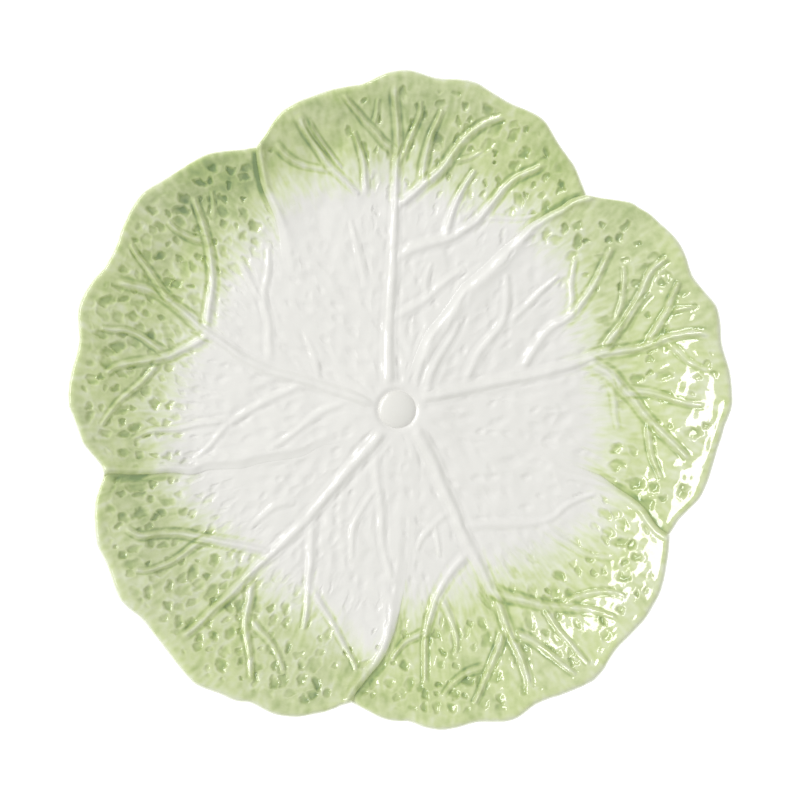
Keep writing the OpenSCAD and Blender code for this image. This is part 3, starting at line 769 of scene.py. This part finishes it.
# %% Turned pieces
def turned(name, profile, turns, centre):
    """A surface of revolution: each profile point (radius, height) is carried round the centre. A radius
    of 0 closes an end, and a closed profile closes on itself."""
    closed = not (profile[0][0] == 0 and profile[-1][0] == 0)
    rings = np.array(profile if closed else profile[1:-1], float)
    angle = np.linspace(0, 2 * np.pi, turns, endpoint=False)
    x = centre[0] + rings[:, :1] * np.cos(angle)
    y = centre[1] + rings[:, :1] * np.sin(angle)
    z = np.repeat(rings[:, 1:], turns, 1)
    points = np.stack([x, y, z], -1).reshape(-1, 3)
    count = len(rings)
    ring = np.arange(count if closed else count - 1)
    a = ring[:, None] * turns + np.arange(turns)
    b = ((ring + 1) % count)[:, None] * turns + np.arange(turns)
    shift = np.roll(np.arange(turns), -1)
    quads = np.stack([a, a[:, shift], b[:, shift], b], -1).reshape(-1, 4)[:, ::-1]
    caps = np.zeros((0, 3), int)
    if not closed:
        ends = [[*centre, profile[0][1]], [*centre, profile[-1][1]]]
        start = len(points)
        points = np.vstack([points, ends])
        last = (count - 1) * turns + np.arange(turns)
        caps = np.vstack([np.column_stack([np.arange(turns), shift, np.full(turns, start)]),
                          np.column_stack([last[shift], last, np.full(turns, start + 1)])])
    return make_piece(name, points, quads, caps, {})


BUTTON_R = 7.3
BUTTON_HEIGHT = 2.0
# The dome drops by these shares with the 2nd and the 8th power of the distance to its middle.
DOME_ROUND = 0.72
DOME_EDGE = 0.28
# Its side slopes out to this radius, and ends below the leaves' surface.
SKIRT = (8.2, FLOOR_Z - 0.5)
dome = [(BUTTON_R * a, FLOOR_Z + BUTTON_HEIGHT * (1 - DOME_ROUND * a**2 - DOME_EDGE * a**8))
        for a in np.linspace(0, 1, 40)]
button = turned("stalk_button_glazed", dome + [SKIRT, (0, SKIRT[1])], 192, STALK)

FOOT_OUT = 62.0
FOOT_WIDE = 4.5
FLARE = 1.2
# The ring's top lies just inside the leaves, so that no slit shows.
FOOT_TOP = FOOT_HEIGHT + 0.1
# The standing face's outer and inner radius, and how far its edges are rounded off
FACE_OUT = FOOT_OUT - 0.2 * FLARE
FACE_IN = FOOT_OUT - FLARE - FOOT_WIDE
FACE_ROUND = 1.0
turn = np.linspace(0, np.pi / 2, 8)
corner = list(zip(FACE_ROUND * (1 - np.cos(turn)), FACE_ROUND * (1 - np.sin(turn))))
foot_profile = ([(FOOT_OUT, FOOT_TOP)] + [(FACE_OUT - r, z) for r, z in corner]
                + [(FACE_IN + r, z) for r, z in corner[::-1]]
                + [(FOOT_OUT - 2 * FLARE - FOOT_WIDE, FOOT_TOP)])
foot = turned("foot_ring_glazed", foot_profile, 240, (0, 0))

# %% [markdown]
# ## Glaze
#
# Coloured glaze is glass with a stain in it: the thicker it lies, the more light it takes, and blue light
# first. So one number, the thickness, picks the colour from a ramp that goes from the white of the body
# through pale and leaf green to the deep green of a pool. A second ramp is yellower, and slow noise mixes the
# two, as in a glaze that was stirred by hand. The clear glaze above is smooth and hard, with a faint
# waviness that bends its reflections. It lies thinner on the white well, which shines more softly.

# %% A socket that can be added, multiplied and subtracted
class Wire:
    """An output socket of a shader. Arithmetic on it adds Math nodes."""

    def __init__(self, paint, out):
        self.paint = paint
        self.out = out

    def maths(self, operation, a, b):
        return self.paint.node("ShaderNodeMath", {"operation": operation}, {0: a, 1: b})

    def __add__(self, other):
        return self.maths("ADD", self, other)

    def __sub__(self, other):
        return self.maths("SUBTRACT", self, other)

    def __rsub__(self, other):
        return self.maths("SUBTRACT", other, self)

    def __mul__(self, other):
        return self.maths("MULTIPLY", self, other)

    __radd__ = __add__
    __rmul__ = __mul__


BODY_IOR = 1.5
COAT_IOR = 1.62
COAT_ROUGHNESS = 0.03


class Finish:
    """A material or a world, and the one method that adds a node to it."""

    def __init__(self, name, kept_in=bpy.data.materials):
        self.holder = kept_in.new(name)
        self.holder.use_nodes = True
        self.tree = self.holder.node_tree
        self.tree.nodes.clear()

    def node(self, kind, settings, sockets, out=0):
        """Adds a node: its settings first, among them a ramp's stops, then the values or wires of its
        sockets. Returns one of its outputs."""
        made = self.tree.nodes.new(kind)
        for key, value in settings.items():
            if key == "stops":
                ramp = made.color_ramp
                for _ in range(len(value) - len(ramp.elements)):
                    ramp.elements.new(1.0)
                for element, (where, colour) in zip(ramp.elements, value):
                    element.position = where
                    element.color = colour
            else:
                setattr(made, key, value)
        for key, value in sockets.items():
            if isinstance(value, Wire):
                self.tree.links.new(value.out, made.inputs[key])
            else:
                made.inputs[key].default_value = value
        return Wire(self, made.outputs[out]) if made.outputs else None

    def value(self, name):
        """A value that the mesh holds for each point."""
        return self.node("ShaderNodeAttribute", {"attribute_name": name}, {}, "Fac")

    def noise(self, scale, detail=2.0):
        """Noise from 0 to 1 on the object's own coordinates. scale is in features per metre."""
        where = self.node("ShaderNodeTexCoord", {}, {}, "Object")
        return self.node("ShaderNodeTexNoise", {}, {"Vector": where, "Scale": scale, "Detail": detail})

    def ramp(self, amount, stops):
        """A colour picked by an amount, from stops of a place from 0 to 1 and a colour."""
        return self.node("ShaderNodeValToRGB", {"stops": stops}, {0: amount})

    def step(self, value, low, high, least=0.0, most=1.0):
        """The least below low and the most above high, with an S-shaped rise between them."""
        return self.node("ShaderNodeMapRange", {"interpolation_type": "SMOOTHSTEP"}, {
            "Value": value, "From Min": low, "From Max": high, "To Min": least, "To Max": most})

    def mix(self, share, first, second):
        """The first colour where share is 0, and the second where it is 1."""
        return self.node("ShaderNodeMix", {"data_type": "RGBA"}, {0: share, 6: first, 7: second}, 2)

    def glossy(self, colour, roughness, height, depth, coat):
        """A glazed surface: colour, roughness, a bump of depth metres and the share of clear coat."""
        bump = self.node("ShaderNodeBump", {}, {"Height": height, "Distance": depth, "Strength": 1.0})
        shader = self.node("ShaderNodeBsdfPrincipled", {}, {
            "Base Color": colour, "Roughness": roughness, "Normal": bump, "IOR": BODY_IOR,
            "Coat Weight": coat, "Coat Roughness": COAT_ROUGHNESS, "Coat IOR": COAT_IOR})
        self.node("ShaderNodeOutputMaterial", {}, {"Surface": shader})
        return self.holder


def tone(red, green, blue):
    """An sRGB colour from 0 to 255 as linear light, and an alpha of 1."""
    c = np.array([red, green, blue]) / 255
    return (*np.where(c <= 0.04045, c / 12.92, ((c + 0.055) / 1.055) ** 2.4), 1)


# %% The leaves' glaze
BODY_WHITE = tone(236, 235, 230)
# Thickness of the green on plain blade, how much more where glaze pools and in the painted shade beside
# a seam, and how much less on a crest
THICK = 0.43
THICK_IN_POOL = 0.31
THIN_ON_CREST = 0.14
# Its unevenness: range, features per metre and detail
SPECKS = [(0.36, 300, 4), (0.3, 85, 3)]
# The least share of the fresher green, and how much more where the noise is high
FRESH = (0.1, 0.5)
# A faint bump of this many metres bends the reflections.
WAVINESS = 0.00012

leaf_glaze = Finish("leaf_glaze")
lies = THICK + THICK_IN_POOL * leaf_glaze.value("pool") - THIN_ON_CREST * leaf_glaze.value("crest")
for span, scale, detail in SPECKS:
    lies = lies + span * (leaf_glaze.noise(scale, detail) - 0.5)
thick = leaf_glaze.value("green") * lies
grey_green = leaf_glaze.ramp(thick, [
    (0.0, BODY_WHITE), (0.2, tone(226, 232, 204)), (0.42, tone(206, 216, 164)),
    (0.66, tone(176, 192, 131)), (1.0, tone(126, 150, 95))])
leaf_green = leaf_glaze.ramp(thick, [
    (0.0, BODY_WHITE), (0.2, tone(227, 234, 197)), (0.42, tone(208, 221, 154)),
    (0.66, tone(177, 198, 114)), (1.0, tone(134, 165, 88))])
fresh = leaf_glaze.step(leaf_glaze.noise(34, 3), 0.4, 0.62)
glaze_tone = leaf_glaze.mix(FRESH[0] + FRESH[1] * fresh, grey_green, leaf_green)
covered = leaf_glaze.step(leaf_glaze.value("green"), 0.05, 0.6)
leaf_finish = leaf_glaze.glossy(
    glaze_tone, 0.27 - 0.2 * covered + 0.05 * leaf_glaze.noise(90), leaf_glaze.noise(140, 1), WAVINESS,
    0.3 + 0.7 * covered)

# %% The button's and the foot's glaze
button_glaze = Finish("stalk_glaze")
button_tone = button_glaze.mix(button_glaze.noise(200), BODY_WHITE, tone(231, 230, 223))
button_finish = button_glaze.glossy(
    button_tone, 0.24 + 0.06 * button_glaze.noise(90), button_glaze.noise(160, 1), WAVINESS, 0.3)

# Glaze starts between these heights in metres, in a line that wanders by this much.
GLAZE_STARTS = (0.0008, 0.0013)
GLAZE_WANDERS = 0.0006
BARE_CLAY = tone(214, 200, 176)
foot_glaze = Finish("foot_glaze")
point = foot_glaze.node("ShaderNodeTexCoord", {}, {}, "Object")
up = foot_glaze.node("ShaderNodeSeparateXYZ", {}, {0: point}, 2)
glazed = foot_glaze.step(up + GLAZE_WANDERS * foot_glaze.noise(400), *GLAZE_STARTS)
foot_finish = foot_glaze.glossy(
    foot_glaze.mix(glazed, BARE_CLAY, BODY_WHITE), 0.75 - 0.6 * glazed,
    foot_glaze.noise(900, 4), 0.5 * WAVINESS, 0.0)

for leaf in leaves:
    leaf.data.materials.append(leaf_finish)
button.data.materials.append(button_finish)
foot.data.materials.append(foot_finish)

# %% [markdown]
# ## What each piece stands for
#
# The frame has a plain solid for every leaf, the button and the foot. Each finished piece takes the place
# of its solid and rides with the plate's one body.

# %% Hand the pieces to the frame
for leaf, node in zip(leaves, LEAVES):
    leaf.name = node + "_glazed"
    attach(leaf, "root")
    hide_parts(node)
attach(button, "root")
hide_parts("stalk_button")
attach(foot, "root")
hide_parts("foot_ring")

# %% [markdown]
# ## Floor, light and camera
#
# The plate lies on white paper. One soft box stands to the left and a little behind, high enough that the
# slope on the far side mirrors it straight up into the lens. White walls, dimmer towards the floor, fill the
# shadows. The lens is long and far off, so that all of the plate is seen straight from above.

# %% Floor
FLOOR_HALF = 4.0
PAPER_SHADE = 0.6
PAPER_GLOW = 0.75
corners = [(x * FLOOR_HALF, y * FLOOR_HALF, 0) for x, y in ((-1, -1), (1, -1), (1, 1), (-1, 1))]
floor_mesh = bpy.data.meshes.new("floor")
floor_mesh.from_pydata(corners, [], [(0, 1, 2, 3)])
floor = put("floor", floor_mesh)
paper = Finish("paper")
sheet = paper.node("ShaderNodeBsdfDiffuse", {}, {"Color": (*[PAPER_SHADE] * 3, 1)})
glow = paper.node("ShaderNodeEmission", {}, {"Color": (1, 1, 1, 1), "Strength": PAPER_GLOW})
paper.node("ShaderNodeOutputMaterial", {}, {
    "Surface": paper.node("ShaderNodeAddShader", {}, {0: sheet, 1: glow})})
floor_mesh.materials.append(paper.holder)

# %% Light
# The soft box: its place in degrees and metres, its size in metres and its watts
KEY_AZIMUTH = 156
KEY_FROM_TOP = 54
KEY_AWAY = 2.2
KEY_LONG = 2.5
KEY_HIGH = 0.45
KEY_WATTS = 22
# How bright the walls are, that at the floor as a share, and how high the dimness reaches
WALLS = 0.8
HORIZON = 0.3
HORIZON_ENDS = 0.55
walls = Finish("white_walls", bpy.data.worlds)
look = walls.node("ShaderNodeTexCoord", {}, {}, "Generated")
high = walls.node("ShaderNodeSeparateXYZ", {}, {0: look}, "Z")
bright = walls.step(high, 0.0, HORIZON_ENDS, HORIZON * WALLS, WALLS)
lit = walls.node("ShaderNodeBackground", {}, {"Color": (1, 1, 1, 1), "Strength": bright})
walls.node("ShaderNodeOutputWorld", {}, {"Surface": lit})
bpy.context.scene.world = walls.holder
key_data = bpy.data.lights.new("soft_box", "AREA")
key_data.shape = "RECTANGLE"
key_data.size = KEY_HIGH
key_data.size_y = KEY_LONG
key_data.energy = KEY_WATTS
key = put("soft_box", key_data)
a, e = np.radians(KEY_AZIMUTH), np.radians(KEY_FROM_TOP)
key.location = (KEY_AWAY * np.cos(a) * np.sin(e), KEY_AWAY * np.sin(a) * np.sin(e), KEY_AWAY * np.cos(e))
key.rotation_euler = (0, e, a)

# %% Camera
LENS = 500
SENSOR = 36
# The picture's scale holds at this height, in metres.
RIM_PLANE = 0.025
camera_data = bpy.data.cameras.new("camera")
camera_data.lens = LENS
camera_data.sensor_width = SENSOR
camera_data.clip_end = 50
px = MM_PER_PX * MM
view_width = VIEW_PX * px
camera = put("camera", camera_data)
camera.location = ((VIEW_PX / 2 - MIDDLE_PX[0]) * px, (MIDDLE_PX[1] - VIEW_PX / 2) * px,
                   RIM_PLANE + view_width * LENS / SENSOR)
bpy.context.scene.camera = camera
bpy.context.scene.view_settings.view_transform = "Standard"
print("camera", round(camera.location.z, 3), "m up")
